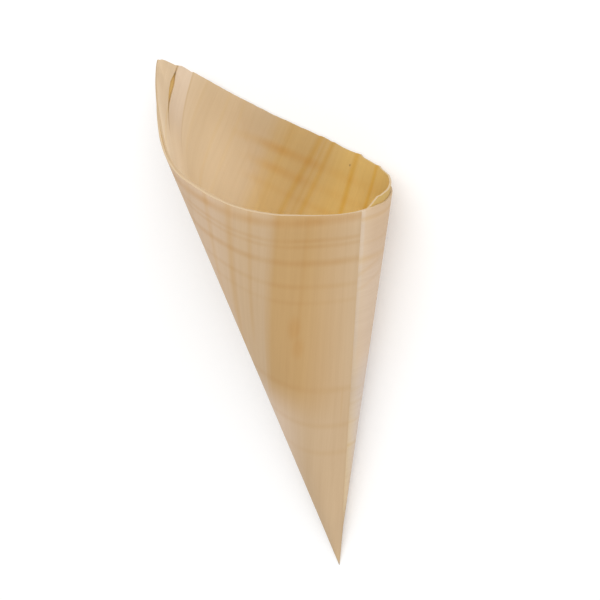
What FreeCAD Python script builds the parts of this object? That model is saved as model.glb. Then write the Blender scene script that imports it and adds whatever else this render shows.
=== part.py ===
"""Wooden food cone: one sheet of sliced pine veneer wound twice around the middle of its long edge.

The sheet is a rectangle. The middle of its long bottom edge becomes the tip of the cone, and every
line from there to the rim stays straight, so the rim shows the sheet's three other edges: the outer
short side, the long top side with its two square corners, and the inner short side. Two full turns
put one corner behind the other, and together they make the tall pointed back. The grain runs along
the long edge, so it crosses at right angles from one turn to the next.

A point of the sheet is known by its sheet angle, counted from the outer end, and its distance from
the tip. The cone lies on its side as it comes to rest: +Z is up and +Y runs from the tip to the mouth.
Lengths are in millimetres, angles in degrees.
"""
import FreeCAD
import Part
import math
import os

# Sheet
sheet_length = 179.1           # long edge, along the grain
sheet_height = 88.4            # short side: from the tip to the long top edge
inner_proud = 1.3              # how much farther the tip is from the inner short side than from the outer
veneer = 0.5                   # thickness of the wood
turns = 2.0                    # how often the half circle of sheet goes around

# Winding
turn_gap = 0.12                # air between one turn and the next
seam_azimuth = -42.7           # where the outer end lies, seen into the mouth
oval = 0.140                   # share by which the section is wider one way
oval_azimuth = -24.0
lobe = 0.074                   # share of a slight three-sided lobe
lobe_azimuth = 10.0
corner_flat = 3.4              # how far the rim beside the tall corner is pulled in, so it runs straight
corner_flat_reach = 11.0       # sheet angle over which that fades out
corner_flat_before = 6.5       # sheet angle from the middle of that stretch to the corner

# Tip, wound so tight that it has no hollow
solid_tip = 9.0

# Split along the grain of the inner turn, beside its tall corner
split_from_edge = 4.6          # from the long top edge
split_length = 15.0
split_width = 0.6
split_mouth = 0.3              # width where it meets the rim
split_widest = 6.0             # from the rim to its widest place
corner_worn = 1.6              # how much of the strip beside the split has worn off its corner

# Rest
rest_azimuth = 67.5            # the side that lies on the ground
rest_flat = 0.028              # share of the radius by which that side is pressed flat

strip_angle = 2.0              # sheet angle of one smooth strip of a face
cutter_past = 1.0              # how far the split's cutter passes the rim

sheet_turn = 180.0 / turns
outer_half = 0.5 * (sheet_length - inner_proud)
inner_half = 0.5 * (sheet_length + inner_proud)

# The sheet's edge from the outer end to the inner one, with the tip at the origin
outline = [
    (outer_half, 0.0),
    (outer_half, sheet_height),
    (corner_worn - inner_half, sheet_height),
    (-inner_half, sheet_height - split_from_edge),
    (-inner_half, 0.0),
]
corner_angles = [math.degrees(math.atan2(y, x)) for x, y in outline]


def round_radius(azimuth):
    """Radius of the section before it is pressed flat, as a share of the cone's spread."""
    widest = oval * math.cos(math.radians(2.0 * (azimuth - oval_azimuth)))
    corners = lobe * math.cos(math.radians(3.0 * (azimuth - lobe_azimuth)))
    return 1.0 + widest + corners


def reach_down(azimuth):
    """How far the round section reaches towards the ground at this azimuth."""
    return round_radius(azimuth) * math.cos(math.radians(azimuth - rest_azimuth))


ground = (1.0 - rest_flat) * max(reach_down(rest_azimuth + step) for step in range(-60, 61))


def ruling(azimuth, spread):
    """Unit vector from the tip along the cone's outer face."""
    radius = spread * round_radius(azimuth)
    turn = math.radians(azimuth)
    line = FreeCAD.Vector(radius * math.cos(turn), radius * math.sin(turn), 1.0)
    return line.normalize()


def used_angles(spread, steps):
    """Sheet angle used up from the seam, step by step once around the cone."""
    angles = [0.0]
    before = ruling(seam_azimuth, spread)
    for step in range(1, steps + 1):
        after = ruling(seam_azimuth - 360.0 * step / steps, spread)
        angles.append(angles[-1] + math.degrees(before.getAngle(after)))
        before = after
    return angles


def find_spread():
    """Radius of the cone one unit above the tip, at which a turn uses up its share of the sheet."""
    low = 0.02
    high = 1.5
    for _ in range(40):
        middle = 0.5 * (low + high)
        if used_angles(middle, 720)[-1] < sheet_turn:
            low = middle
        else:
            high = middle
    return 0.5 * (low + high)


spread = find_spread()
angle_table = used_angles(spread, 720)


def azimuth_at(sheet_angle):
    """Azimuth of the sheet's straight line at this angle, once around for each turn of sheet."""
    whole = int(sheet_angle / sheet_turn)
    rest = min(sheet_angle - whole * sheet_turn, angle_table[-1])
    index = 1
    while angle_table[index] < rest:
        index += 1
    share = (rest - angle_table[index - 1]) / (angle_table[index] - angle_table[index - 1])
    return seam_azimuth - 360.0 * (whole + (index - 1 + share) / (len(angle_table) - 1))


def face_normal(azimuth):
    """Unit vector out of the cone, square to its outer face."""
    before = ruling(azimuth - 0.05, spread)
    after = ruling(azimuth + 0.05, spread)
    return (after - before).cross(ruling(azimuth, spread)).normalize()


def depth_at(sheet_angle, layer):
    """Depth below the cone's outermost face. Layer 0 is the sheet's outer face, 1 its inner face."""
    return layer * veneer + (veneer + turn_gap) * sheet_angle / sheet_turn


def edge_distance(sheet_angle):
    """Distance from the tip to the sheet's edge."""
    turn = math.radians(sheet_angle)
    for (x0, y0), (x1, y1), end in zip(outline[:-1], outline[1:], corner_angles[1:]):
        if sheet_angle <= end + 1e-9:
            break
    across = math.cos(turn) * (y1 - y0) - math.sin(turn) * (x1 - x0)
    return (x0 * y1 - y0 * x1) / across


def pull_in(sheet_angle, distance):
    """How far a point near the tall corner is drawn into the cone."""
    middle = corner_angles[1] - corner_flat_before
    offset = (sheet_angle % sheet_turn - middle) / corner_flat_reach
    if abs(offset) >= 1.0:
        return 0.0
    height = max(0.0, distance - solid_tip) / (math.hypot(outer_half, sheet_height) - solid_tip)
    return corner_flat * height * math.cos(math.radians(90.0 * offset)) ** 2


def press_in(azimuth, distance):
    """How far a point on the side that lies on the ground is pressed into the cone."""
    share = max(0.0, reach_down(azimuth) - ground)
    return share * spread * distance


def sheet_point(sheet_angle, distance, layer):
    """Place on the wound cone of a point of the sheet."""
    azimuth = azimuth_at(sheet_angle)
    depth = depth_at(sheet_angle, layer) + pull_in(sheet_angle, distance) + press_in(azimuth, distance)
    return ruling(azimuth, spread) * distance - face_normal(azimuth) * depth


def rim_point(sheet_angle, layer):
    """Where a straight line of the sheet ends at its edge."""
    return sheet_point(sheet_angle, edge_distance(sheet_angle), layer)


def foot_point(sheet_angle, layer):
    """Where a straight line of the sheet comes out of the solid tip."""
    azimuth = azimuth_at(sheet_angle)
    line = ruling(azimuth, spread)
    inset = face_normal(azimuth) * (depth_at(sheet_angle, layer) + press_in(azimuth, solid_tip))
    return line * ((solid_tip + inset.z) / line.z) - inset


def smooth_line(points, places):
    """Curve through points, with the place of each one along it."""
    line = Part.BSplineCurve()
    line.interpolate(Points=points, Parameters=places)
    return line


def wound_line(point_at, first, last, layer):
    """Short curve around the cone between two sheet angles."""
    angles = [first, 0.5 * (first + last), last]
    return smooth_line([point_at(angle, layer) for angle in angles], angles)


def ruled_face(first, second):
    """Face of straight lines between two curves that keep the same places."""
    surface = Part.BSplineSurface()
    surface.buildFromPolesMultsKnots(
        [first.getPoles(), second.getPoles()],
        [2, 2],
        first.getMultiplicities(),
        [0.0, 1.0],
        first.getKnots(),
        False,
        False,
        1,
        first.Degree,
    )
    return surface.toShape()


def end_face(first, second, third, fourth):
    """Four-sided face with straight edges."""
    return ruled_face(smooth_line([first, second], [0.0, 1.0]), smooth_line([fourth, third], [0.0, 1.0]))


def closed_solid(faces):
    """Solid inside faces that share their edges."""
    skin = Part.makeCompound(faces)
    skin.sewShape()
    solid = Part.makeSolid(skin.Shells[0])
    if solid.Volume < 0.0:
        solid.reverse()
    return solid


def strip_stops(last):
    """Sheet angles of the strips, with a stop at every corner of the sheet."""
    stops = [0.0]
    for corner in sorted(corner_angles[1:] + [sheet_turn]):
        if corner <= last:
            first = stops[-1]
            count = max(1, math.ceil((corner - first) / strip_angle))
            stops += [first + (corner - first) * step / count for step in range(1, count + 1)]
    return stops


def foot_edges(last, layer):
    """Outline of one face of the sheet where it comes out of the tip."""
    stops = strip_stops(last)
    return [wound_line(foot_point, *pair, layer).toShape() for pair in zip(stops[:-1], stops[1:])]


def wound_sheet():
    """The sheet above the tip: its two faces and its edge in strips, its two ends and its foot."""
    faces = []
    for end in (0.0, 180.0):
        faces.append(end_face(foot_point(end, 0), rim_point(end, 0), rim_point(end, 1), foot_point(end, 1)))
    stops = strip_stops(180.0)
    for first, last in zip(stops[:-1], stops[1:]):
        outer_rim = wound_line(rim_point, first, last, 0)
        inner_rim = wound_line(rim_point, first, last, 1)
        faces.append(ruled_face(wound_line(foot_point, first, last, 0), outer_rim))
        faces.append(ruled_face(wound_line(foot_point, first, last, 1), inner_rim))
        faces.append(ruled_face(outer_rim, inner_rim))
    foot = foot_edges(180.0, 0) + foot_edges(180.0, 1)
    foot += [Part.makeLine(foot_point(end, 0), foot_point(end, 1)) for end in (0.0, 180.0)]
    faces.append(Part.Face(Part.Wire(Part.__sortEdges__(foot))))
    return closed_solid(faces)


def tip():
    """The solid tip: the outline of the turns where they close up, drawn to a point."""
    section = foot_edges(sheet_turn, 0)
    section.append(Part.makeLine(foot_point(sheet_turn, 0), foot_point(0.0, 0)))
    point = Part.Vertex(0.0, 0.0, 0.0)
    return Part.makeLoft([point, Part.Wire(section)], True, True)


def split_side(side, layer):
    """One long side of the split, along the grain from past the rim to its closed end."""
    places = [-cutter_past, 0.0, split_widest, 0.5 * (split_widest + split_length), split_length]
    widths = [split_mouth, split_mouth, split_width, 0.6 * split_width, 0.05 * split_width]
    points = []
    for place, width in zip(places, widths):
        x = place - inner_half
        y = sheet_height - split_from_edge + 0.5 * side * width
        points.append(sheet_point(math.degrees(math.atan2(y, x)), math.hypot(x, y), layer))
    return smooth_line(points, places)


def split():
    """Cutter for the split: a curved lens through the inner turn, which ends in the air behind it."""
    behind = -0.5 * turn_gap / veneer
    inside = 2.0
    sides = [
        split_side(-1, behind),
        split_side(1, behind),
        split_side(1, inside),
        split_side(-1, inside),
    ]
    faces = [ruled_face(first, second) for first, second in zip(sides, sides[1:] + sides[:1])]
    for place in (-cutter_past, split_length):
        faces.append(end_face(*[side.value(place) for side in sides]))
    return closed_solid(faces)


def laid_down(shape):
    """Lay the upright cone on its resting side: tip and rim touch the ground."""
    tip_point = FreeCAD.Vector(0, 0, 0)
    turn = FreeCAD.Rotation(FreeCAD.Vector(0, 0, 1), 90.0 - rest_azimuth)
    slope = 0.0
    for step in range(int(4 * sheet_turn)):
        rim = turn.multVec(rim_point(0.25 * step, 0))
        slope = max(slope, math.degrees(math.atan2(rim.y, rim.z)))
    shape.rotate(tip_point, FreeCAD.Vector(0, 0, 1), 90.0 - rest_azimuth)
    shape.rotate(tip_point, FreeCAD.Vector(1, 0, 0), slope - 90.0)
    box = shape.optimalBoundingBox(False)
    shape.translate(FreeCAD.Vector(-box.Center.x, -box.Center.y, -box.ZMin))
    return shape


os.makedirs("parts", exist_ok=True)
cone = wound_sheet().fuse(tip()).cut(split())
cone = laid_down(cone)
cone.exportStep("parts/veneer_cone.step")
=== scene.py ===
# %% [markdown]
# # Wooden food cone
#
# The object is a small pointed cone for serving finger food. It is made from one sheet of sliced pine
# veneer, half a millimetre thick and a little over twice as long as it is wide. The middle of the
# sheet's long bottom edge becomes the tip, and the sheet is wound twice around it.
#
# In this lesson we cut the flat sheet, roll it up the way the maker does, and then give it the look of
# dry pine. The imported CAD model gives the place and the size: we load it first and never move it.

import math

import bpy
import numpy as np
from mathutils import Matrix, Vector


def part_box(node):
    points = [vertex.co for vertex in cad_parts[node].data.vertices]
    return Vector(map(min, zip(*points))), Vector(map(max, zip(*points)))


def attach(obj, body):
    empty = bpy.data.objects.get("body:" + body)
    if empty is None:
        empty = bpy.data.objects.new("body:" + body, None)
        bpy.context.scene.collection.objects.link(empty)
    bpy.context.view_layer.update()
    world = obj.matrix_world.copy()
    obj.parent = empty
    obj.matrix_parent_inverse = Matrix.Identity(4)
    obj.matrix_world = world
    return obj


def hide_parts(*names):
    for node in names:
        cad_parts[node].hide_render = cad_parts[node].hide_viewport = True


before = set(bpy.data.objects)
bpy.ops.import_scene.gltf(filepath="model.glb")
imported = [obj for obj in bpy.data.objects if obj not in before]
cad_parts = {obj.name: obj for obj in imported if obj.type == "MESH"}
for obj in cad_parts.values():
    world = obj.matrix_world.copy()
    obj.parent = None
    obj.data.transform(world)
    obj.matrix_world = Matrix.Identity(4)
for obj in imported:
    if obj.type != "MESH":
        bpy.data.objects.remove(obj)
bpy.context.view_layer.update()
cone_low, cone_high = (Vector(corner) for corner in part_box("veneer_cone"))


def in_mm(values):
    """Metres as rounded millimetres, for printing."""
    return [round(1000 * float(value), 2) for value in values]


print("The cone measures", in_mm(cone_high - cone_low), "mm")

# %% [markdown]
# ## The sheet and how it is wound
#
# These are the sizes of the real sheet, in metres. The two halves of the long edge differ a little, so
# the inner end stands proud of the outer one at the rim. At the seam the outer end is half a millimetre
# short, so the rim runs on there without a step. No corner is quite whole any more: the flap beside the
# split is worn, the outer tall corner is a little short and hides behind the inner one, and the inner
# end's foot is cut on a slant, so the end dips behind the rim instead of standing up square.
#
# The section of the cone is not a true circle, because thin wood springs open where it can. We write
# its radius as a circle with two soft waves on it: one makes it oval, the other slightly three-sided.
# A table of measured radii would do the same, but two waves are easier to read and to change.

# %% Sizes of the sheet and shape of the section
SHEET_HEIGHT = 0.0884
OUTER_HALF = 0.0889
INNER_HALF = 0.0902
VENEER = 0.0005
TURN_GAP = 0.00004
SOLID_TIP = 0.009

SPLIT_FROM_EDGE = 0.0054
SPLIT_LENGTH = 0.015
SPLIT_WIDTH = 0.0013
FLAP_WORN = 0.0016
OUTER_WORN, OUTER_WORN_LENGTH = 0.0029, 0.0260
END_WORN, END_WORN_LENGTH = 0.0038, 0.0065
FLAP_LEAN, FLAP_LEAN_LENGTH = 0.00090, 0.0035
FLAP_LEAN_ANGLES = (131.5, 134.5, 137.0, 137.15)
SEAM_SHORT, SEAM_SHORT_LENGTH = 0.0005, 0.015

SEAM_AZIMUTH = -42.7
OVAL, OVAL_AZIMUTH = 0.140, -24.0
LOBE, LOBE_AZIMUTH = 0.074, 10.0
CORNER_FLAT, CORNER_FLAT_REACH, CORNER_FLAT_BEFORE = 0.0034, 11.0, 6.5
REST_AZIMUTH, REST_FLAT = 67.5, 0.028

outline = [
    (OUTER_HALF - SEAM_SHORT, 0.0),
    (OUTER_HALF, SEAM_SHORT_LENGTH),
    (OUTER_HALF, SHEET_HEIGHT - OUTER_WORN_LENGTH),
    (OUTER_HALF - OUTER_WORN, SHEET_HEIGHT),
    (FLAP_WORN - INNER_HALF, SHEET_HEIGHT),
    (-INNER_HALF, SHEET_HEIGHT - SPLIT_FROM_EDGE),
    (-INNER_HALF, END_WORN_LENGTH),
    (END_WORN - INNER_HALF, 0.0),
]
flap_corners = outline[4:6]
uncut = [(OUTER_HALF, 0.0), (OUTER_HALF, SHEET_HEIGHT), *flap_corners, (-INNER_HALF, 0.0)]


def angle_on_sheet(x, y):
    """Degrees of sheet from the outer half of the long bottom edge."""
    return math.degrees(math.atan2(y, x))


corner_angles = [angle_on_sheet(*corner) for corner in outline]
flap_angle = angle_on_sheet(*flap_corners[0])
tall_angle = angle_on_sheet(OUTER_HALF, SHEET_HEIGHT)
print("Corners of the sheet at", [round(angle, 1) for angle in corner_angles], "degrees of sheet")


def section_radius(azimuth):
    """Radius of the cone's section, as a share of its mean radius."""
    oval = OVAL * np.cos(np.radians(2 * (azimuth - OVAL_AZIMUTH)))
    lobe = LOBE * np.cos(np.radians(3 * (azimuth - LOBE_AZIMUTH)))
    return 1 + oval + lobe


def straight_line(azimuth, spread):
    """Directions from the tip along the outer face, one row for each azimuth."""
    radius = spread * section_radius(azimuth)
    turn = np.radians(azimuth)
    lines = np.stack([radius * np.cos(turn), radius * np.sin(turn), np.ones_like(radius)], axis=-1)
    return lines / np.linalg.norm(lines, axis=-1, keepdims=True)


# %% [markdown]
# ## How much sheet one turn takes
#
# Half a circle of sheet goes around exactly twice, so one turn takes 90 degrees of it. That fixes how
# wide the cone is. We add up the small angles between neighbouring straight lines and close in on the
# spread that gives 90. The same sums then tell us at which azimuth any line of the sheet lands.

# %% Find the spread and the table of azimuths
TABLE_STEPS = 1440
table_azimuths = np.linspace(0, 360, TABLE_STEPS + 1)


def sheet_used(spread):
    """Degrees of sheet used up from the seam to each azimuth of the table."""
    lines = straight_line(SEAM_AZIMUTH - table_azimuths, spread)
    steps = 2 * np.arcsin(np.linalg.norm(np.diff(lines, axis=0), axis=1) / 2)
    return np.concatenate([[0.0], np.cumsum(np.degrees(steps))])


narrow, wide = 0.02, 1.5
for _ in range(40):
    SPREAD = (narrow + wide) / 2
    if sheet_used(SPREAD)[-1] < 90:
        narrow = SPREAD
    else:
        wide = SPREAD
table_used = sheet_used(SPREAD)
print("Spread of the cone:", round(SPREAD, 4))


def azimuth_of(sheet_angle):
    """Azimuth on the cone of a straight line of the sheet."""
    turn = np.clip(np.floor(sheet_angle / 90), 0, 1)
    return SEAM_AZIMUTH - 360 * turn - np.interp(sheet_angle - 90 * turn, table_used, table_azimuths)


def outward(azimuth, step=0.05):
    """Direction square to the outer face."""
    before, after = (straight_line(azimuth + side * step, SPREAD) for side in (-1, 1))
    normals = np.cross(after - before, straight_line(azimuth, SPREAD))
    return normals / np.linalg.norm(normals, axis=-1, keepdims=True)


def edge_distance(sheet_angle, shape=outline, slack=1e-6):
    """Distance from the tip to the edge of the sheet. The slack keeps corners from falling between."""
    distance = np.zeros_like(sheet_angle)
    turn = np.radians(sheet_angle)
    for (x0, y0), (x1, y1) in zip(shape[:-1], shape[1:]):
        first, last = angle_on_sheet(x0, y0), angle_on_sheet(x1, y1)
        on_side = (sheet_angle >= first - slack) & (sheet_angle <= last + slack)
        across = np.cos(turn) * (y1 - y0) - np.sin(turn) * (x1 - x0)
        safe = np.where(on_side, across, 1.0)
        distance = np.where(on_side, (x0 * y1 - y0 * x1) / safe, distance)
    return distance


# %% [markdown]
# ## Rolling up
#
# This is the heart of the model. A point of the flat sheet has an angle and a distance from the tip,
# and its depth says whether it is on the outer or the inner face. On the cone it keeps its distance
# along the straight line, and it goes in by the thickness of the turns that lie outside it.
#
# Three small things change the depth. Beside the tall corner the rim is drawn in, because the veneer
# runs straight there. The side that the cone lies on is pressed slightly flat. And the flap beside the
# split leans out a little over the worn corner of the outer turn, so its edge lies behind the split's.

# %% The function that rolls the sheet up
ground = (1 - REST_FLAT) * max(
    section_radius(REST_AZIMUTH + step) * math.cos(math.radians(step)) for step in range(-60, 61)
)
tall_corner = math.hypot(OUTER_HALF, SHEET_HEIGHT)


def depth_below(sheet_angle, distance, layer):
    """Depth under the cone's outermost face. Layer 0 is the sheet's outer face, 1 the inner one."""
    turns = layer * VENEER + (VENEER + TURN_GAP) * sheet_angle / 90
    offset = (np.mod(sheet_angle, 90) - tall_angle + CORNER_FLAT_BEFORE) / CORNER_FLAT_REACH
    fade = np.where(np.abs(offset) < 1, np.cos(np.radians(90 * offset)) ** 2, 0)
    up = np.maximum(0, distance - SOLID_TIP) / (tall_corner - SOLID_TIP)
    azimuth = azimuth_of(sheet_angle)
    reach = section_radius(azimuth) * np.cos(np.radians(azimuth - REST_AZIMUTH))
    pressed = np.maximum(0, reach - ground) * SPREAD * distance
    on_flap = np.interp(sheet_angle, FLAP_LEAN_ANGLES, [0, 1, 1, 0])
    beyond = np.clip((distance - edge_distance(sheet_angle - 90)) / FLAP_LEAN_LENGTH, 0, 1)
    return turns + CORNER_FLAT * up * fade + pressed - FLAP_LEAN * on_flap * beyond**2


def roll_up(sheet_angle, distance, layer):
    """Place on the upright cone, with its tip at the origin, of points of the flat sheet."""
    azimuth = azimuth_of(sheet_angle)
    line = straight_line(azimuth, SPREAD)
    normal = outward(azimuth)
    foot = np.maximum(distance, SOLID_TIP / line[:, 2])
    inset = normal * depth_below(sheet_angle, foot, layer)[:, None]
    foot = np.maximum(distance, (SOLID_TIP + inset[:, 2]) / line[:, 2])
    inset = normal * depth_below(sheet_angle, foot, layer)[:, None]
    return (line * foot[:, None] - inset) * (distance / foot)[:, None]


print("The tall corner lies", in_mm([tall_corner])[0], "mm from the tip")

# %% [markdown]
# ## The flat sheet
#
# A square grid would be coarse at the tip, where a millimetre of sheet goes a long way around. So we
# start from one straight line and spin it through half a circle: every line of the mesh then runs from
# the tip to the rim, just like the straight lines of the real cone, and it stays straight.
#
# The half circle is larger than the sheet. Each point then slides along its line until the last one
# lands on the sheet's edge, as if we trimmed the wood with shears.

# %% Spin a line into a fan
RAYS = 720
ROWS = 28
FAN_REACH = 1.0
CLOSE = 1e-6


def only(thing):
    """Leave just this object selected and active."""
    bpy.ops.object.select_all(action="DESELECT")
    thing.select_set(True)
    bpy.context.view_layer.objects.active = thing


def pick(piece, kind, test):
    """Go into edit mode with just the vertices, edges or faces selected that pass a test."""
    bpy.ops.object.mode_set(mode="EDIT")
    bpy.ops.mesh.select_mode(type=kind)
    bpy.ops.mesh.select_all(action="DESELECT")
    bpy.ops.object.mode_set(mode="OBJECT")
    lists = {"VERT": piece.data.vertices, "EDGE": piece.data.edges, "FACE": piece.data.polygons}
    for part in lists[kind]:
        part.select = bool(test(part))
    bpy.ops.object.mode_set(mode="EDIT")


bpy.ops.object.select_all(action="DESELECT")
bpy.ops.mesh.primitive_grid_add(
    x_subdivisions=ROWS, y_subdivisions=1, size=FAN_REACH, location=(FAN_REACH / 2, 0, 0)
)
sheet = bpy.context.object
sheet.name = "wound_veneer"
sheet.data.name = "wound_veneer"
bpy.ops.object.transform_apply(location=True)

pick(sheet, "VERT", lambda vertex: vertex.co.y > 0)
bpy.ops.mesh.delete(type="VERT")
bpy.ops.mesh.select_all(action="SELECT")
bpy.ops.transform.resize(value=(1, 0, 1), center_override=(0, 0, 0))
bpy.ops.mesh.spin(steps=RAYS, angle=math.pi, center=(0, 0, 0), axis=(0, 0, 1))
bpy.ops.mesh.select_all(action="SELECT")
bpy.ops.mesh.remove_doubles(threshold=CLOSE)
bpy.ops.object.mode_set(mode="OBJECT")
print("The fan has", len(sheet.data.polygons), "faces")

# %% [markdown]
# ## Trimming the fan to the sheet
#
# The lines nearest to the sheet's corners are turned exactly onto them, so the corners stay sharp. The
# points are set closer together towards the tip, where the cone is tight.
#
# The sheet is cut cleanly, with only a slight wander, but the inner end has broken across the grain.
# Hard winter lines carry the break, so it runs in shallow steps from one line to the next. A short
# list holds how far the wood stands proud of a straight cut, in millimetres, at a few heights. The
# inner half's long edge rises a little beside the tall corner, where the two turns end nearly level.

# %% Slide every point to its place on the sheet
fan_angles = np.linspace(0, 180, RAYS + 1)
for corner in corner_angles[1:-1]:
    fan_angles[round(corner * RAYS / 180)] = corner


def points_of(mesh):
    """Places of all vertices as one array."""
    places = np.empty(3 * len(mesh.vertices))
    mesh.vertices.foreach_get("co", places)
    return places.reshape(-1, 3)


def put_points(mesh, places):
    """Write the places of all vertices back."""
    mesh.vertices.foreach_set("co", places.ravel())
    mesh.update()


BROKEN_END = [
    # height, stands proud
    (6.5, 0.0), (14.0, 0.10), (21.0, 0.32), (25.3, 0.02), (25.9, 0.27), (27.5, 0.0), (32.1, -0.25),
    (32.8, 0.18), (34.5, -0.02), (37.5, -0.20), (39.5, -0.12), (40.0, 0.0), (41.0, -0.18),
    (43.8, -0.05), (44.6, -0.22), (52.0, -0.25), (62.0, -0.26), (67.5, -0.15), (70.0, 0.0),
    (74.0, 0.37), (78.4, 0.60), (78.9, 0.22), (79.3, 0.36), (81.5, 0.52), (82.7, 0.25), (83.1, -0.15),
    (84.5, 0.15), (86.0, 0.32), (87.4, 0.26), (88.0, 0.02), (88.4, -0.35),
]
INNER_TOP_RISE, RISE_ANGLES = 0.0004, (92, 100, 128, 134)
WANDER, WANDER_RAYS = 0.00003, 21
SPLINTER, ROUGHER, SMOOTHER = 0.00004, 1.5, 0.7
TIGHTER_AT_TIP = 1.3

rng = np.random.default_rng(4)
straight_cut = edge_distance(fan_angles)
height = 1000 * straight_cut * np.sin(np.radians(fan_angles))
on_broken_end = (fan_angles > flap_angle) & (fan_angles < 179)
proud = np.where(on_broken_end, np.interp(height, *zip(*BROKEN_END)), 0) / 1000
proud += np.interp(fan_angles, RISE_ANGLES, [0, INNER_TOP_RISE, INNER_TOP_RISE, 0])
noise = rng.normal(size=RAYS + WANDER_RAYS)
wander = np.convolve(noise, np.hanning(WANDER_RAYS), mode="valid") * WANDER
splinters = SPLINTER * rng.random(RAYS + 1) * np.where(on_broken_end, ROUGHER, SMOOTHER)
rim_distance = straight_cut + proud - splinters - np.abs(wander)


def fan_places(places):
    """Angle on the flat sheet and distance from the tip of each point."""
    sheet_angle = np.degrees(np.arctan2(np.abs(places[:, 1]), places[:, 0]))
    return sheet_angle, np.hypot(places[:, 0], places[:, 1])


sheet_angle, distance = fan_places(points_of(sheet.data))
ray = np.rint(sheet_angle * RAYS / 180).astype(int)
turn = np.radians(fan_angles[ray])
distance = (distance / FAN_REACH) ** TIGHTER_AT_TIP * rim_distance[ray]
put_points(sheet.data, np.stack([distance * np.cos(turn), distance * np.sin(turn), 0 * turn], axis=1))
print("Rim trimmed, with steps between", in_mm((proud.min(), proud.max())), "mm")

# %% [markdown]
# ## The split
#
# The inner end has cracked along its grain, close to the tall corner. In wood that is a fibre line that
# let go: a cut with no width that has opened a little. So we cut the mesh along one straight line, part
# its two sides, and open them into a slim lens. The wood beside the cut gives way less and less with
# its distance, so no face folds over. A boolean would need a cutter with the cone's curve, but on the
# flat sheet the cut is one bisect.

# %% Cut and open the split
SPLIT_MARGIN, SPLIT_REACH = 0.001, 0.004
SPLIT_WIDTH_ALONG = [
    # share of the split's length, share of its width
    (0.0, 0.02), (0.06, 0.03), (0.12, 0.08), (0.21, 0.52), (0.33, 1.0), (0.47, 0.90), (0.61, 0.64),
    (0.70, 0.40), (0.76, 0.24), (1.0, 0.0),
]
split_height = SHEET_HEIGHT - SPLIT_FROM_EDGE
split_end = SPLIT_LENGTH - INNER_HALF


def beside_split(face):
    """Faces that the split may cross."""
    along, up = face.center.x, face.center.y
    return along < split_end + SPLIT_MARGIN and abs(up - split_height) < SPLIT_REACH


def on_split(places, past_end):
    """Which points lie on the cut, up to its closed end."""
    return (np.abs(places[:, 1] - split_height) < 2 * CLOSE) & (places[:, 0] < split_end + past_end)


pick(sheet, "FACE", beside_split)
bpy.ops.mesh.bisect(plane_co=(0, split_height, 0), plane_no=(0, 1, 0), threshold=CLOSE)
bpy.ops.object.mode_set(mode="OBJECT")
on_cut = on_split(points_of(sheet.data), CLOSE)
pick(sheet, "EDGE", lambda edge: on_cut[edge.vertices[0]] and on_cut[edge.vertices[1]])
bpy.ops.mesh.edge_split(type="EDGE")
bpy.ops.object.mode_set(mode="OBJECT")
places = points_of(sheet.data)
on_cut = on_split(places, -CLOSE)
side = np.zeros(len(places))
for face in sheet.data.polygons:
    for index in face.vertices:
        if on_cut[index]:
            side[index] = 1 if face.center.y > split_height else -1
offset = places[:, 1] - split_height
side = np.where(side == 0, np.sign(offset), side)
fade = np.clip(1 - np.abs(offset) / SPLIT_FROM_EDGE, 0, 1)
width = np.interp((places[:, 0] + INNER_HALF) / SPLIT_LENGTH, *zip(*SPLIT_WIDTH_ALONG))
places[:, 1] += 0.5 * side * width * fade * SPLIT_WIDTH
put_points(sheet.data, places)
print("The split opens to", round(1000 * SPLIT_WIDTH, 2), "mm")

# %% [markdown]
# ## Thickness and the cut edge
#
# Solidify gives the sheet its half millimetre, all of it below, so the face we drew stays the outer
# one. Shears crush the fibres at the edge a little, so the edge isn't razor sharp: a narrow bevel
# along the rim catches the light the way the real edge does.

# %% Give the sheet its thickness
if sheet.data.polygons[0].normal.z < 0:
    bpy.ops.object.mode_set(mode="EDIT")
    bpy.ops.mesh.select_all(action="SELECT")
    bpy.ops.mesh.flip_normals()
    bpy.ops.object.mode_set(mode="OBJECT")
only(sheet)
solidify = sheet.modifiers.new("thickness", "SOLIDIFY")
solidify.thickness = VENEER
solidify.offset = -1
bpy.ops.object.modifier_apply(modifier=solidify.name)
heights = points_of(sheet.data)[:, 2]
print("The sheet lies between heights of", in_mm((heights.min(), heights.max())), "mm")

# %% Bevel the rim
BEVEL = 0.00006
NEAR_RIM = 0.985
SAME_POINT = 1e-7
places = points_of(sheet.data)
sheet_angle, distance = fan_places(places)
near_rim = distance > NEAR_RIM * edge_distance(sheet_angle)
on_end = (np.abs(places[:, 1]) < CLOSE) & (distance > 1.5 * SOLID_TIP)


def is_sharp(edge):
    """Long edges of the rim and of the sheet's ends, on either face."""
    first, last = edge.vertices
    level = abs(places[first, 2] - places[last, 2]) < SAME_POINT
    rim = near_rim[first] and near_rim[last]
    end = on_end[first] and on_end[last]
    return level and (rim or end)


pick(sheet, "EDGE", is_sharp)
bpy.ops.mesh.bevel(offset=BEVEL, segments=2, affect="EDGES")
bpy.ops.object.mode_set(mode="OBJECT")
print("Faces after the bevel:", len(sheet.data.polygons))
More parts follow.
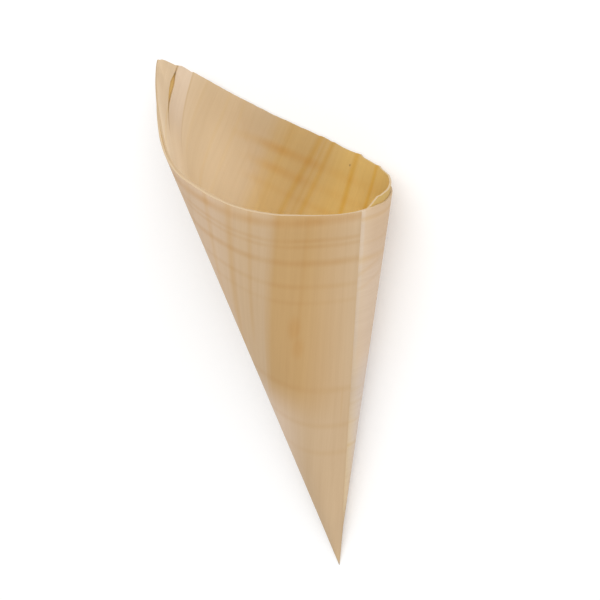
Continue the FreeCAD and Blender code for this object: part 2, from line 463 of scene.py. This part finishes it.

# %% [markdown]
# ## A plan of the wood on the sheet
#
# The grain belongs to the flat sheet, not to the cone. So before rolling up we write down where on the
# sheet each point is, as a UV map: across is the way of the grain, up is the way across it. The
# material later reads only this plan, and the grain then follows the veneer around the cone by itself.
# We also mark the cut edges, because cut fibres look paler than the sliced face, and the face that
# turns inwards, so that the hidden inner face of the outer turn can be painted golden: painted light
# that stands in for light shining through the thin veneer into the gap between the turns.

# %% Write the plan and mark the cut edges and the inside
PLAN_SIZE = 0.2
LEVEL = 0.9
mesh = sheet.data
places = points_of(mesh)
corners = np.empty(len(mesh.loops), dtype=int)
mesh.loops.foreach_get("vertex_index", corners)
plan = places[corners][:, :2] / PLAN_SIZE + (0.5, 0)
layer = mesh.uv_layers.new(name="plan")
layer.uv.foreach_set("vector", plan.ravel())
normals = np.empty(3 * len(mesh.polygons))
mesh.polygons.foreach_get("normal", normals)
facing_up = normals[2::3]
for name, marked in (("cut", np.abs(facing_up) < LEVEL), ("inside", facing_up < -LEVEL)):
    mark = mesh.attributes.new(name, "FLOAT", "FACE")
    mark.data.foreach_set("value", marked.astype(float))
print("Plan runs from", plan.min(axis=0).round(3), "to", plan.max(axis=0).round(3))

# %% Roll the sheet up
OFF_TIP = 1e-9
sheet_angle, distance = fan_places(places)
put_points(mesh, roll_up(sheet_angle, np.maximum(distance, OFF_TIP), -places[:, 2] / VENEER))
bpy.ops.object.mode_set(mode="EDIT")
bpy.ops.mesh.select_mode(type="VERT")
bpy.ops.mesh.select_all(action="SELECT")
bpy.ops.mesh.remove_doubles(threshold=SAME_POINT)
bpy.ops.mesh.select_all(action="DESELECT")
bpy.ops.mesh.select_non_manifold()
bpy.ops.object.mode_set(mode="OBJECT")
print("Open or doubled points:", sum(vertex.select for vertex in mesh.vertices))

# %% [markdown]
# ## Lying down
#
# A cone can't stand on its tip, so it lies as it comes to rest: first we turn its resting side to the
# back, then we tip it over until that side is level. Its place comes from the CAD node: we turn the
# rim of the uncut sheet in the same way, and its box has to fall on the box of the node. The turns
# touch here, so the piece may be a few hundredths of a millimetre too wide, and it is nudged inside.

# %% Lay the cone on its side
SMOOTH_BELOW = 35


def turn_piece(piece, turns):
    """Turn a piece about the world's axes, by degrees, and write the turn into its mesh."""
    only(piece)
    piece.rotation_euler = [math.radians(turn) for turn in turns]
    bpy.ops.object.transform_apply(rotation=True)


rim_angles = np.linspace(0, 180, TABLE_STEPS + 1)
rim_of_uncut = edge_distance(rim_angles, uncut)
rims = [roll_up(rim_angles, rim_of_uncut, np.full_like(rim_angles, face)) for face in (0, 1)]
whole = np.vstack([*rims, np.zeros((1, 3))])
to_back = np.array(Matrix.Rotation(math.radians(90 - REST_AZIMUTH), 3, "Z"))
outer_rim = rims[0][rim_angles <= 90] @ to_back.T
slope = np.degrees(np.arctan2(outer_rim[:, 1], outer_rim[:, 2])).max()
lie_down = np.array(Matrix.Rotation(math.radians(slope - 90), 3, "X"))
whole = whole @ (lie_down @ to_back).T

turn_piece(sheet, (0, 0, 90 - REST_AZIMUTH))
turn_piece(sheet, (slope - 90, 0, 0))
middle = (whole.min(axis=0) + whole.max(axis=0)) / 2
cad_middle = (cone_low + cone_high) / 2
place = np.array((cad_middle.x - middle[0], cad_middle.y - middle[1], cone_low.z - whole[:, 2].min()))
places = points_of(mesh) + place
place += np.minimum(0, np.array(cone_high) - places.max(axis=0))
place += np.maximum(0, np.array(cone_low) - places.min(axis=0))
sheet.location = place
bpy.ops.object.transform_apply(location=True)
places = points_of(mesh)
print("Cone from", in_mm(places.min(axis=0)), "to", in_mm(places.max(axis=0)), "mm")
print("CAD from ", in_mm(cone_low), "to", in_mm(cone_high), "mm")

bpy.ops.object.mode_set(mode="EDIT")
bpy.ops.mesh.select_all(action="SELECT")
bpy.ops.mesh.normals_make_consistent(inside=False)
bpy.ops.object.mode_set(mode="OBJECT")
bpy.ops.object.shade_smooth_by_angle(angle=math.radians(SMOOTH_BELOW))

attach(sheet, "root")
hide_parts("veneer_cone")

# %% [markdown]
# ## The wood, one idea at a time
#
# Sliced pine shows its growth rings as bands along the sheet. Where the knife met sapwood it is pale,
# and near the heart it turns golden. Over that lie thin dark lines, one for each winter, and very fine
# fibres. All of it belongs to the flat sheet, so every node reads the plan that we wrote before.
#
# Many nodes do small sums, so a short helper makes one sum node and hands back its result. A few more
# helpers stand on it: a soft step, a product, a length, and a tint that multiplies a colour.

# %% Start the wood material and read the plan
wood = bpy.data.materials.new("sliced_pine")
wood.use_nodes = True
tree = wood.node_tree
shader = tree.nodes["Principled BSDF"]


def join(socket, value):
    """Link a socket to another, or set its number or colour."""
    if isinstance(value, bpy.types.NodeSocket):
        tree.links.new(value, socket)
    else:
        socket.default_value = value


def calc(operation, first, second=0.0, third=0.0):
    """One sum of two or three values."""
    node = tree.nodes.new("ShaderNodeMath")
    node.operation = operation
    for socket, value in zip(node.inputs, (first, second, third)):
        join(socket, value)
    return node.outputs[0]


def step_between(value, low, high):
    """Soft step: 0 below low, 1 above high. With low above high it falls instead."""
    node = tree.nodes.new("ShaderNodeMapRange")
    node.interpolation_type = "SMOOTHSTEP"
    rising = low < high
    join(node.inputs["Value"], value)
    node.inputs["From Min"].default_value = min(low, high)
    node.inputs["From Max"].default_value = max(low, high)
    node.inputs["To Min"].default_value = 0.0 if rising else 1.0
    node.inputs["To Max"].default_value = 1.0 if rising else 0.0
    return node.outputs["Result"]


def change_between(value, low, high, start, finish):
    """Soft change from start, below low, to finish, above high."""
    return calc("MULTIPLY_ADD", step_between(value, low, high), finish - start, start)


def product(first, *others):
    """All values multiplied together."""
    for other in others:
        first = calc("MULTIPLY", first, other)
    return first


def length_of(first, second):
    """Length of a line from its reach in two directions."""
    return calc("SQRT", calc("ADD", calc("POWER", first, 2.0), calc("POWER", second, 2.0)))


def mix_colour(amount, first, second, blend="MIX"):
    """Mix two colours."""
    node = tree.nodes.new("ShaderNodeMix")
    node.data_type = "RGBA"
    node.blend_type = blend
    join(node.inputs["Factor"], amount)
    join(node.inputs["A"], first)
    join(node.inputs["B"], second)
    return node.outputs["Result"]


def tint(amount, colour, by):
    """Multiply a colour by another one, more or less strongly."""
    return mix_colour(amount, colour, by, blend="MULTIPLY")


def face_mark(name):
    """Read a mark that was written on the faces."""
    node = tree.nodes.new("ShaderNodeAttribute")
    node.attribute_name = name
    return node.outputs["Fac"]


plan_node = tree.nodes.new("ShaderNodeUVMap")
plan_node.uv_map = "plan"
parts = tree.nodes.new("ShaderNodeSeparateXYZ")
tree.links.new(plan_node.outputs["UV"], parts.inputs[0])
PLAN_MM = 1000 * PLAN_SIZE
along = calc("MULTIPLY", calc("SUBTRACT", parts.outputs["X"], 0.5), PLAN_MM)
up = calc("MULTIPLY", parts.outputs["Y"], PLAN_MM)
on_outer_half = step_between(along, -6.0, 6.0)
on_inner_half = calc("SUBTRACT", 1.0, on_outer_half)
print("The plan is read in millimetres: along the grain and up the sheet")

# %% [markdown]
# ## Noise that follows the grain
#
# Wood is a bundle of fibres, so any noise on it is stretched: many times longer along the grain than
# across. One helper makes such a noise from a length and a width. A slow one lets the lines wander a
# little, as they do in a real tree, and the fine ones become fibres and soft clouds.

# %% Stretched noise
def grain_noise(length, width, seed, detail=2.0):
    """Noise between 0 and 1 with streaks of this length along the grain and this width across it."""
    place = tree.nodes.new("ShaderNodeCombineXYZ")
    join(place.inputs["X"], calc("DIVIDE", along, length))
    join(place.inputs["Y"], calc("DIVIDE", up, width))
    place.inputs["Z"].default_value = seed
    node = tree.nodes.new("ShaderNodeTexNoise")
    node.inputs["Scale"].default_value = 1.0
    node.inputs["Detail"].default_value = detail
    tree.links.new(place.outputs[0], node.inputs["Vector"])
    return node.outputs["Fac"]


def around_zero(noise, amount):
    """Turn a noise into a small plus or minus."""
    return calc("MULTIPLY", calc("SUBTRACT", noise, 0.5), amount)


wander_up = around_zero(grain_noise(26.0, 14.0, 3.1), 0.9)
wander_along = around_zero(grain_noise(14.0, 26.0, 7.7), 1.6)
lines_up = calc("ADD", up, wander_up)
lines_along = calc("ADD", calc("ABSOLUTE", along), wander_along)
fibres = grain_noise(9.0, 0.22, 1.3, detail=4.0)
streaks = grain_noise(45.0, 1.1, 5.9, detail=3.0)
clouds = grain_noise(30.0, 9.0, 8.4, detail=3.0)
print("Noises ready")

# %% [markdown]
# ## Ground colour
#
# The colour of the wood changes slowly up the sheet. A ramp per half tells it: the outer half is golden
# low down and pale above, and the inner half goes from a strong yellow through light brown to buff.
# That strong yellow is partly the wood and partly painted light: the warm glow of light that shines
# through the two thin turns into the cone.
# Towards the tip, and where the outer half first shows at the front, the golden part fades out. The
# inner half is painted paler away from its end: painted light that stands in for light shining
# through the thin wood and brightens the shade deep inside the cone. The last centimetre or so at the
# tip has been pressed hard and is a little browner.

# %% Ramps for the ground colour
def ramp(value, stops):
    """Colour ramp over a height in millimetres. Each stop is a height and a colour."""
    node = tree.nodes.new("ShaderNodeValToRGB")
    join(node.inputs["Fac"], calc("DIVIDE", value, 100.0))
    elements = node.color_ramp.elements
    while len(elements) < len(stops):
        elements.new(1.0)
    for element, (height, colour) in zip(elements, stops):
        element.position = height / 100.0
        element.color = (*colour, 1.0)
    return node.outputs["Color"]


CREAM = (0.735, 0.605, 0.505)
ECRU = (0.745, 0.570, 0.415)
OATMEAL = (0.730, 0.552, 0.400)
PALE = (0.690, 0.497, 0.328)
BISCUIT = (0.680, 0.480, 0.300)
BUFF = (0.640, 0.452, 0.268)
TAN = (0.605, 0.428, 0.255)
HONEY = (0.590, 0.385, 0.192)
GOLDEN = (0.565, 0.352, 0.150)
YELLOW = (0.630, 0.415, 0.130)
AMBER = (0.575, 0.373, 0.117)
BROWN = (0.500, 0.326, 0.127)
FAWN = (0.500, 0.355, 0.200)
SAND = (0.555, 0.398, 0.230)
WHEAT = (0.640, 0.478, 0.305)
# Painted light: golden glow for the hidden inner face of the outer turn
COVERED_GLOW = (0.700, 0.475, 0.175)
# Painted light: a tint that makes the deep inside of the cone paler
INNER_PAINTED_LIGHT = (1.42, 1.55, 1.75, 1.0)

outer_low = ramp(
    lines_up,
    [(1, BUFF), (8, HONEY), (12.5, GOLDEN), (20.0, GOLDEN), (22.0, TAN), (28, BUFF), (38, PALE)],
)
outer_tip = ramp(
    lines_up,
    [
        (0, BUFF), (10, TAN), (18, OATMEAL), (30, CREAM), (46, CREAM), (53, OATMEAL), (64, ECRU),
        (72, OATMEAL), (80, PALE), (88, BISCUIT),
    ],
)
# The inner half's yellow is partly the wood's colour and partly painted light, the warm glow of light
# through the thin turns
inner = ramp(
    lines_up,
    [
        (22, YELLOW), (36, AMBER), (43, BROWN), (51, BROWN), (57, FAWN), (68, SAND), (73, SAND),
        (80, WHEAT), (88, WHEAT),
    ],
)
print("Two ramps for the outer half and one for the inner half")

# %% Lay the ramps over the two halves
GOLDEN_PART = (34.0, 47.0)
INNER_DEEP = (-92.0, -60.0)
COVERED_PART = (-16.0, -10.0)
PRESSED_TIP = (17.0, 9.0)
SEAM_PALE, TIP_BROWN = 0.5, 0.7

# Painted light: the inner half is painted paler away from its end, to brighten the shade deep inside
# the cone
painted_inner_light = product(
    step_between(along, *INNER_DEEP),
    change_between(up, 40.0, 62.0, 0.65, 1.0),
    change_between(up, 76.0, 86.0, 1.0, 0.7),
)
inner = tint(painted_inner_light, inner, INNER_PAINTED_LIGHT)
outer = mix_colour(step_between(along, *GOLDEN_PART), outer_tip, outer_low)
seam_band = product(step_between(along, -0.6, 0.0), step_between(along, 2.0, 1.2), SEAM_PALE)
outer = mix_colour(seam_band, outer, (*CREAM, 1.0))
ground_colour = mix_colour(on_outer_half, inner, outer)
# Painted light: the hidden inner face of the outer turn is painted golden, for light shining through
# the thin veneer into the gap
painted_covered_glow = product(face_mark("inside"), step_between(along, *COVERED_PART))
ground_colour = mix_colour(painted_covered_glow, ground_colour, (*COVERED_GLOW, 1.0))
from_tip = length_of(calc("ABSOLUTE", along), up)
pressed = product(step_between(from_tip, *PRESSED_TIP), TIP_BROWN)
ground_colour = mix_colour(pressed, ground_colour, (*TAN, 1.0))
print("Ramps laid over the sheet, golden from", GOLDEN_PART[0], "mm on the outer half")

# %% [markdown]
# ## Growth lines
#
# The lines are few and each has its own place, width and strength, so we list them, as a maker would
# mark them on the sheet: where the line starts along the sheet and how high it is there, where it ends
# and how high it is there, its width and its strength.
#
# Half a millimetre of dry pine lets light through, and the other turn's lines show as soft bands that
# cross the grain. One turn is a quarter circle of sheet, so a line at one height on the hidden turn
# shows at the same distance along the sheet on the turn in front. The same helper draws both.

# %% List and draw the lines
OWN_LINES = [
    # starts, height there, ends, height there, width, strength
    (0, 86.1, 20, 86.1, 1.0, 0.45),
    (0, 80.2, 20, 80.2, 0.8, 0.16),
    (0, 76.2, 20, 75.6, 1.5, 0.50),
    (0, 72.6, 10, 75.6, 0.9, 0.35),
    (0, 69.0, 10, 72.0, 0.9, 0.22),
    (0, 44.4, 30, 44.8, 0.8, 0.18),
    (0, 41.0, 30, 41.0, 0.8, 0.20),
    (0, 36.3, 30, 36.3, 0.8, 0.32),
    (0, 30.5, 30, 30.5, 0.9, 0.42),
    (72, 44.6, 92, 45.3, 1.2, 0.24),
    (60, 35.7, 92, 39.5, 1.4, 0.42),
    (50, 30.1, 92, 32.4, 1.7, 0.62),
    (58, 25.4, 92, 26.8, 1.0, 0.42),
    (40, 21.1, 92, 22.3, 0.7, 0.18),
    (62, 13.8, 92, 13.2, 0.9, 0.20),
    (41, 2.2, 42, 2.2, 0.5, 0.24),
    (-92, 26.9, -60, 26.0, 1.1, 0.95),
    (-92, 33.7, -60, 30.8, 1.2, 0.95),
    (-92, 40.4, -60, 41.6, 1.1, 0.70),
    (-92, 42.2, -60, 43.4, 0.6, 0.30),
    (-92, 43.7, -60, 46.5, 1.4, 0.75),
    (-92, 50.5, -60, 52.5, 1.6, 0.16),
    (-92, 54.0, -50, 54.0, 1.2, 0.12),
    (-92, 64.1, -50, 64.1, 0.9, 0.14),
    (-92, 68.3, -50, 68.3, 0.8, 0.16),
    (-92, 74.6, -74, 74.6, 0.8, 0.12),
    (-76, 83.6, -64, 87.0, 0.5, 0.40),
]
THROUGH_LINES = [
    # from height, distance along there, to height, distance along there, width, strength
    (0, 87.4, 62, 86.2, 1.8, 0.75),
    (0, 82.6, 62, 83.2, 0.9, 0.40),
    (0, 81.2, 62, 81.8, 0.9, 0.36),
    (0, 77.2, 62, 77.4, 1.4, 0.55),
    (0, 71.5, 50, 71.5, 1.1, 0.32),
    (0, 67.5, 50, 67.5, 1.0, 0.20),
    (0, 45.5, 30, 45.5, 1.4, 0.26),
    (0, 36.5, 30, 36.5, 1.2, 0.28),
    (0, 29.5, 30, 29.5, 1.2, 0.22),
    (74, 83.6, 90, 83.6, 0.8, 0.90),
]
INNER_THROUGH_LINES = [
    # the same on the inner half
    (22, 84.7, 60, 82.6, 1.8, 0.22),
    (44, 83.4, 55, 82.9, 1.8, 0.62),
    (22, 79.8, 56, 78.4, 1.8, 0.18),
    (45, 78.9, 53, 78.5, 1.8, 0.50),
    (22, 74.6, 54, 74.3, 1.5, 0.24),
]
SOFT_END = 7.0


def band(value, run, first, start, last, end, width, strength):
    """One soft line across value, from start to end, while run goes from first to last."""
    lean = (end - start) / (last - first)
    centre = calc("MULTIPLY_ADD", run, lean, start - lean * first)
    away = calc("ABSOLUTE", calc("SUBTRACT", value, centre))
    begins = step_between(run, first - SOFT_END, first)
    stops = step_between(run, last + SOFT_END, last)
    return product(step_between(away, width, 0.0), begins, stops, strength)


def all_bands(value, run, table):
    """The lines of a table, laid over each other."""
    total = 0.0
    for row in table:
        total = calc("MAXIMUM", band(value, run, *row), total)
    return total


own_lines = all_bands(lines_up, along, OWN_LINES)
through_outer = product(all_bands(lines_along, up, THROUGH_LINES), on_outer_half)
through_inner = product(all_bands(lines_along, up, INNER_THROUGH_LINES), on_inner_half)
through_count = len(THROUGH_LINES) + len(INNER_THROUGH_LINES)
print("Lines:", len(OWN_LINES), "of its own and", through_count, "showing through")

# %% [markdown]
# ## The lifted strip
#
# Between the split and the next fibre line a strip of wood has lifted a little, and it is paler: partly
# because the torn wood is lighter, and partly as painted light where the raised strip catches the lamp.
# It could be a mesh of its own, but it stands up by less than the veneer is thick, so colour is enough.

# %% Colour of the lifted strip
STRIP_LIT_COLOUR = (0.690, 0.540, 0.395, 1.0)
STRIP_LOW, STRIP_HIGH, STRIP_LEAN = 79.0, 82.9, 0.1
STRIP_SOFT, STRIP_SHOWS = 0.2, 0.85
STRIP_FADES = (-68.0, -80.0)

strip_low = calc("MULTIPLY_ADD", along, -STRIP_LEAN, STRIP_LOW - STRIP_LEAN * 1000 * INNER_HALF)
above_strip_low = calc("SUBTRACT", up, strip_low)
# The strip's pale colour includes painted light where the raised strip catches the lamp
lifted = product(
    step_between(above_strip_low, -STRIP_SOFT, 0.0),
    step_between(up, STRIP_HIGH, STRIP_HIGH - STRIP_SOFT),
    step_between(along, *STRIP_FADES),
    STRIP_SHOWS,
)
colour = mix_colour(lifted, ground_colour, STRIP_LIT_COLOUR)
print("Strip from", STRIP_LOW, "to", STRIP_HIGH, "mm up the sheet")

# %% [markdown]
# ## Putting the lines on
#
# A growth line doesn't cover the wood. It only takes some blue and green out of its colour, so it is
# multiplied on as a tint, and a patchy noise makes it come and go. Two faint resin spots are laid on
# in the same way. One small dark speck and the fine cracks beside the strip do cover the wood.

# %% Lines, spots and cracks
INNER_LINE_TINT = (0.955, 0.845, 0.480, 1.0)
OUTER_LINE_TINT = (0.940, 0.835, 0.620, 1.0)
INNER_THROUGH_TINT = (0.950, 0.800, 0.540, 1.0)
OUTER_THROUGH_TINT = (0.910, 0.810, 0.660, 1.0)
RESIN_TINT = (0.960, 0.840, 0.640, 1.0)
SPECK_COLOUR = (0.22, 0.130, 0.050, 1.0)
CRACK_COLOUR = (0.40, 0.220, 0.060, 1.0)

patchy = grain_noise(12.0, 7.0, 2.6)
own_strength = product(own_lines, calc("MULTIPLY_ADD", patchy, 1.0, 0.5))
colour = tint(own_strength, colour, mix_colour(on_inner_half, OUTER_LINE_TINT, INNER_LINE_TINT))
through = calc("MAXIMUM", through_outer, through_inner)
through_strength = product(through, calc("MULTIPLY_ADD", patchy, 1.8, 0.1))
through_tint = mix_colour(on_inner_half, OUTER_THROUGH_TINT, INNER_THROUGH_TINT)
colour = tint(through_strength, colour, through_tint)


def spot(middle_along, middle_up, length, width, strength):
    """A soft oval spot."""
    first = calc("DIVIDE", calc("ABSOLUTE", calc("SUBTRACT", along, middle_along)), length)
    second = calc("DIVIDE", calc("ABSOLUTE", calc("SUBTRACT", up, middle_up)), width)
    return product(step_between(length_of(first, second), 1.0, 0.2), strength)


resin = calc("MAXIMUM", spot(60.9, 14.7, 4.5, 2.2, 0.55), spot(56.3, 13.6, 4.0, 2.0, 0.50))
colour = tint(resin, colour, RESIN_TINT)
colour = mix_colour(spot(-86.9, 34.4, 0.42, 0.33, 0.7), colour, SPECK_COLOUR)
cracks = calc(
    "MAXIMUM",
    band(above_strip_low, along, -92, -0.3, -72, -0.3, 0.35, 0.20),
    band(up, along, -92, STRIP_HIGH + 0.1, -74, STRIP_HIGH + 0.1, 0.5, 0.50),
)
colour = mix_colour(cracks, colour, CRACK_COLOUR)
print("Lines, two resin spots, one speck and two cracks drawn")

# %% [markdown]
# ## Lighter and darker wood
#
# Fibres, streaks and clouds make the wood a little lighter or darker. Darker pine is also yellower, so
# blue changes most and red least.

# %% Fibres, streaks and clouds
CHANNEL_STRENGTHS = (0.7, 1.0, 1.4)
light = calc("ADD", 1.0, around_zero(fibres, 0.10))
light = calc("ADD", light, around_zero(streaks, 0.12))
light = calc("ADD", light, around_zero(clouds, 0.14))
shade = tree.nodes.new("ShaderNodeCombineColor")
for channel, strength in zip(shade.inputs, CHANNEL_STRENGTHS):
    join(channel, calc("MULTIPLY_ADD", calc("SUBTRACT", light, 1.0), strength, 1.0))
colour = tint(1.0, colour, shade.outputs["Color"])
print("Fibres, streaks and clouds laid on")

# %% [markdown]
# ## Cut edges
#
# The marks on the faces tell the cut edges apart from the sliced wood. They are a touch paler, because
# cut fibres scatter the light. The walls of the split are painted golden: painted light that stands in
# for the warm glow of light shining through the fresh pine.

# %% Cut edges and the walls of the split
CUT_COLOUR = (0.60, 0.455, 0.285, 1.0)
INNER_CUT_COLOUR = (0.52, 0.370, 0.215, 1.0)
SPLIT_GLOW_COLOUR = (0.62, 0.440, 0.205, 1.0)
TOP_EDGE = (87.0, 88.0)
SPLIT_BORDER = (1.0, 0.8)
SPLIT_FROM_END = (-89.2, -88.8)
CUT_SHOWS = 0.9

inner_top = product(on_inner_half, step_between(up, *TOP_EDGE))
cut_colour = mix_colour(inner_top, CUT_COLOUR, INNER_CUT_COLOUR)
from_split = calc("ABSOLUTE", calc("SUBTRACT", up, 1000 * split_height))
past_end = step_between(along, *SPLIT_FROM_END)
# Painted light: the golden glow of light through the wood, laid on the walls of the split
painted_split_glow = product(step_between(from_split, *SPLIT_BORDER), on_inner_half, past_end)
cut_colour = mix_colour(painted_split_glow, cut_colour, SPLIT_GLOW_COLOUR)
colour = mix_colour(product(face_mark("cut"), CUT_SHOWS), colour, cut_colour)
join(shader.inputs["Base Color"], colour)
print("Cut edges coloured")

# %% [markdown]
# ## Surface of the wood
#
# The veneer is left bare, so it is matt, with a faint gloss where the knife pressed the late wood. The
# fibres also stand up by a few hundredths of a millimetre. That is too fine for the mesh, so it is the
# one thing that we leave to bump.

# %% Gloss and bump
ROUGHNESS, SPECULAR = 0.66, 0.35
BUMP_STRENGTH, BUMP_DEPTH = 0.35, 0.00006
roughness = calc("ADD", ROUGHNESS, around_zero(streaks, 0.16))
join(shader.inputs["Roughness"], calc("SUBTRACT", roughness, product(own_lines, 0.08)))
shader.inputs["Specular IOR Level"].default_value = SPECULAR
bump = tree.nodes.new("ShaderNodeBump")
bump.inputs["Strength"].default_value = BUMP_STRENGTH
bump.inputs["Distance"].default_value = BUMP_DEPTH
join(bump.inputs["Height"], calc("ADD", fibres, product(streaks, 0.8)))
join(shader.inputs["Normal"], bump.outputs["Normal"])

sheet.data.materials.clear()
sheet.data.materials.append(wood)
print("The wood has", len(tree.nodes), "nodes")

# %% [markdown]
# ## Floor
#
# The cone lies on a plain pale floor, which isn't part of it. A matt floor that reflects 86 % of the
# light looks light grey, so a camera ray also gets a little glow from it, up to white. The glow lights
# nothing, and the shadow under the cone stays. The helpers make their nodes in the material that tree
# stands for, so we point it at the floor's material now.

# %% Make the floor
bpy.ops.object.select_all(action="DESELECT")
bpy.ops.mesh.primitive_plane_add(size=3, location=(0, 0, 0))
floor = bpy.context.object
floor.name = "floor"
FLOOR_GREY, FLOOR_GLOW = 0.86, 0.16
paint = bpy.data.materials.new("pale_floor")
paint.use_nodes = True
tree = paint.node_tree
shader = tree.nodes["Principled BSDF"]
shader.inputs["Base Color"].default_value = (FLOOR_GREY, FLOOR_GREY, FLOOR_GREY, 1)
shader.inputs["Roughness"].default_value = 0.9
shader.inputs["Emission Color"].default_value = (1, 1, 1, 1)
ray = tree.nodes.new("ShaderNodeLightPath")
seen = calc("MAXIMUM", ray.outputs["Is Camera Ray"], ray.outputs["Is Glossy Ray"])
seen = calc("MAXIMUM", seen, ray.outputs["Is Transmission Ray"])
join(shader.inputs["Emission Strength"], calc("MULTIPLY", seen, FLOOR_GLOW))
floor.data.materials.append(paint)
print("Floor level", FLOOR_GREY, "with a glow of", FLOOR_GLOW)

# %% [markdown]
# ## Light
#
# Soft light from all sides shows pale wood best. The white world gives most of it. One large soft lamp
# above the mouth gives the rest, so the inside is lit and the seam and the rim get a shade beside them.

# %% World and lamp
WORLD_LIGHT = 0.70
LAMP_PLACE, LAMP_SIZE, LAMP_POWER = (0.20, 0.58, 0.84), 1.2, 7.0
world = bpy.data.worlds.new("studio")
bpy.context.scene.world = world
world.use_nodes = True
background = world.node_tree.nodes["Background"]
background.inputs["Color"].default_value = (1, 1, 1, 1)
background.inputs["Strength"].default_value = WORLD_LIGHT

bpy.ops.object.light_add(type="AREA", location=LAMP_PLACE)
lamp = bpy.context.object
lamp.name = "soft_box"
lamp.data.size = LAMP_SIZE
lamp.data.energy = LAMP_POWER
lamp.rotation_euler = (Vector((0, 0, 0)) - lamp.location).to_track_quat("-Z", "Y").to_euler()
print("Lamp of", LAMP_POWER, "W above the mouth")

# %% [markdown]
# ## Camera
#
# The camera looks steeply down on the cone from its right side, with a long lens, so the straight lines
# of the cone stay straight. It is rolled so that the tip points down in the picture.

# %% Camera
CAMERA_PLACE = Vector((0.24378, 0.03451, 0.65262))
CAMERA_TARGET = Vector((0.00374, 0.00258, 0.01200))
CAMERA_ROLL = -101.79
CAMERA_LENS = 179.7
bpy.ops.object.camera_add(location=CAMERA_PLACE)
camera = bpy.context.object
look = CAMERA_TARGET - CAMERA_PLACE
camera.rotation_euler = (
    look.to_track_quat("-Z", "Y") @ Matrix.Rotation(math.radians(CAMERA_ROLL), 3, "Z").to_quaternion()
).to_euler()
camera.data.lens = CAMERA_LENS
camera.data.sensor_width = 36
bpy.context.scene.camera = camera
bpy.context.scene.view_settings.view_transform = "Standard"
